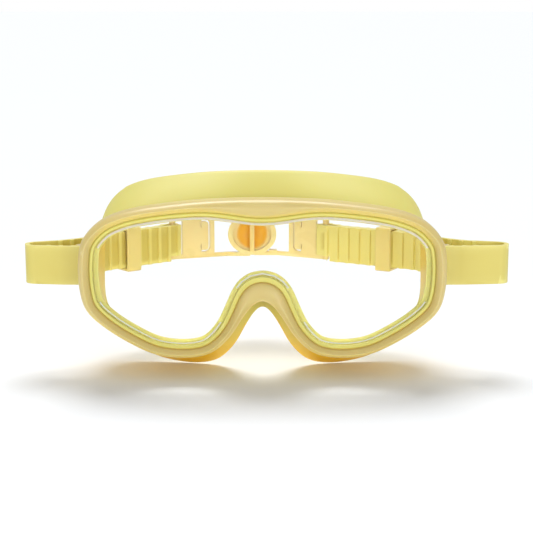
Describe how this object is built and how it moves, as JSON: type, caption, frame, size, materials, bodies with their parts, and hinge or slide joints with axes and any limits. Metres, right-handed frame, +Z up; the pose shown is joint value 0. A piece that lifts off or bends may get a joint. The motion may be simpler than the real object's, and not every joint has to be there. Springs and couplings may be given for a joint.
{
  "type": "diving mask",
  "caption": "Swim and diving mask with a one-piece clear lens in a rounded rim, a soft face skirt, and a ribbed head strap with keepers and a rear clip.",
  "frame": {"origin": "on the flat front face of the lens, at the bridge between its two eye lobes, midway across the mask", "axes": "+X along the width, to the wearer's left; +Y from the lens back towards the face and the strap; +Z up as worn"},
  "size_m": [0.2226, 0.0968, 0.0921],
  "materials": {
    "rim": "satin",
    "rear_rim": "satin",
    "lens": "polished",
    "skirt": "matt",
    "strap": "matt",
    "lug": "satin",
    "strap_pin": "satin",
    "keeper": "satin",
    "clip": "satin"
  },
  "bodies": {
    "mask": {"front_frame": "rim", "rear_frame": "rear_rim", "lens": "lens", "skirt": "skirt"},
    "strap_loop": {"left_lug": "lug", "right_lug": "lug", "left_strap_pin": "strap_pin", "right_strap_pin": "strap_pin", "left_strap": "strap", "right_strap": "strap"},
    "left_keeper": {"left_keeper": "keeper"},
    "right_keeper": {"right_keeper": "keeper"},
    "left_clip": {"left_clip": "clip"},
    "right_clip": {"right_clip": "clip"}
  },
  "joints": [
    {"name": "strap_tilt", "type": "hinge", "parent": "mask", "child": "strap_loop", "pos_m": [0, 0.02, -0.0102], "axis": [1, 0, 0], "range_deg": [-16, 20]},
    {"name": "left_keeper_slide", "type": "slide", "parent": "strap_loop", "child": "left_keeper", "axis": [-0.8731, 0.4876, 0], "range_m": [-0.004, 0.004]},
    {"name": "right_keeper_slide", "type": "slide", "parent": "strap_loop", "child": "right_keeper", "axis": [0.7758, 0.631, 0], "range_m": [-0.004, 0.004]},
    {"name": "left_clip_turn", "type": "hinge", "parent": "strap_loop", "child": "left_clip", "pos_m": [0.0316, 0.079, -0.0102], "axis": [0, 0, 1], "range_deg": [-70, 0]},
    {"name": "right_clip_turn", "type": "hinge", "parent": "strap_loop", "child": "right_clip", "pos_m": [-0.0454, 0.079, -0.0102], "axis": [0, 0, 1], "range_deg": [-30, 0]}
  ]
}
